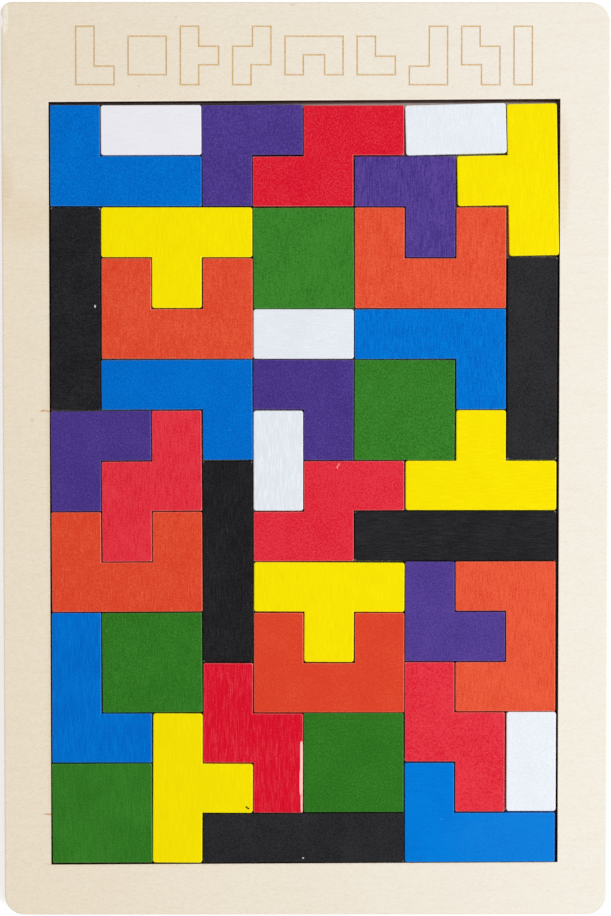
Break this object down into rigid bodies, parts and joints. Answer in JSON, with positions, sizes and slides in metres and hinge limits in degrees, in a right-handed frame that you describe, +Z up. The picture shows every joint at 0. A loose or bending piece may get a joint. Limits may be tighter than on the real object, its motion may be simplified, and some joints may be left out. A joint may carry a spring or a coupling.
{
  "type": "tetromino puzzle",
  "caption": "Flat wooden tray whose rectangular cut-out is filled with painted square-celled blocks that interlock like a mosaic and lift out by hand.",
  "frame": {"origin": "middle of the tray's underside, on the surface it lies on", "axes": "+X along the tray's width, to the right as one reads it; +Y along its length, towards the wide margin; +Z up, out of the open side"},
  "size_m": [0.1796, 0.2708, 0.0082],
  "materials": {
    "base_plywood": "bare plywood with a burnt cut edge",
    "frame_plywood": "bare pale plywood with a burnt cut edge",
    "blue_paint": "painted wood, satin",
    "white_paint": "painted wood, satin",
    "purple_paint": "painted wood, satin",
    "red_paint": "painted wood, satin",
    "yellow_paint": "painted wood, satin",
    "orange_paint": "painted wood, satin",
    "green_paint": "painted wood, satin",
    "black_paint": "painted wood, satin"
  },
  "bodies": {
    "root": {"base_board": "base_plywood", "frame_border": "frame_plywood", "blue_l_block_1": "blue_paint", "blue_l_block_2": "blue_paint", "blue_l_block_3": "blue_paint", "blue_l_block_4": "blue_paint", "blue_l_block_5": "blue_paint", "white_domino_block_1": "white_paint", "white_domino_block_2": "white_paint", "white_domino_block_3": "white_paint", "white_domino_block_4": "white_paint", "white_domino_block_5": "white_paint", "purple_corner_block_1": "purple_paint", "purple_corner_block_2": "purple_paint", "purple_corner_block_3": "purple_paint", "purple_corner_block_4": "purple_paint", "purple_corner_block_5": "purple_paint", "red_zigzag_block_1": "red_paint", "red_zigzag_block_2": "red_paint", "red_zigzag_block_3": "red_paint", "red_zigzag_block_4": "red_paint", "red_zigzag_block_5": "red_paint", "yellow_t_block_1": "yellow_paint", "yellow_t_block_2": "yellow_paint", "yellow_t_block_3": "yellow_paint", "yellow_t_block_4": "yellow_paint", "yellow_t_block_5": "yellow_paint", "orange_u_block_1": "orange_paint", "orange_u_block_2": "orange_paint", "orange_u_block_3": "orange_paint", "orange_u_block_4": "orange_paint", "orange_u_block_5": "orange_paint", "green_square_block_1": "green_paint", "green_square_block_2": "green_paint", "green_square_block_3": "green_paint", "green_square_block_4": "green_paint", "green_square_block_5": "green_paint", "black_bar_block_1": "black_paint", "black_bar_block_2": "black_paint", "black_bar_block_3": "black_paint", "black_bar_block_4": "black_paint", "black_bar_block_5": "black_paint"}
  },
  "joints": []
}
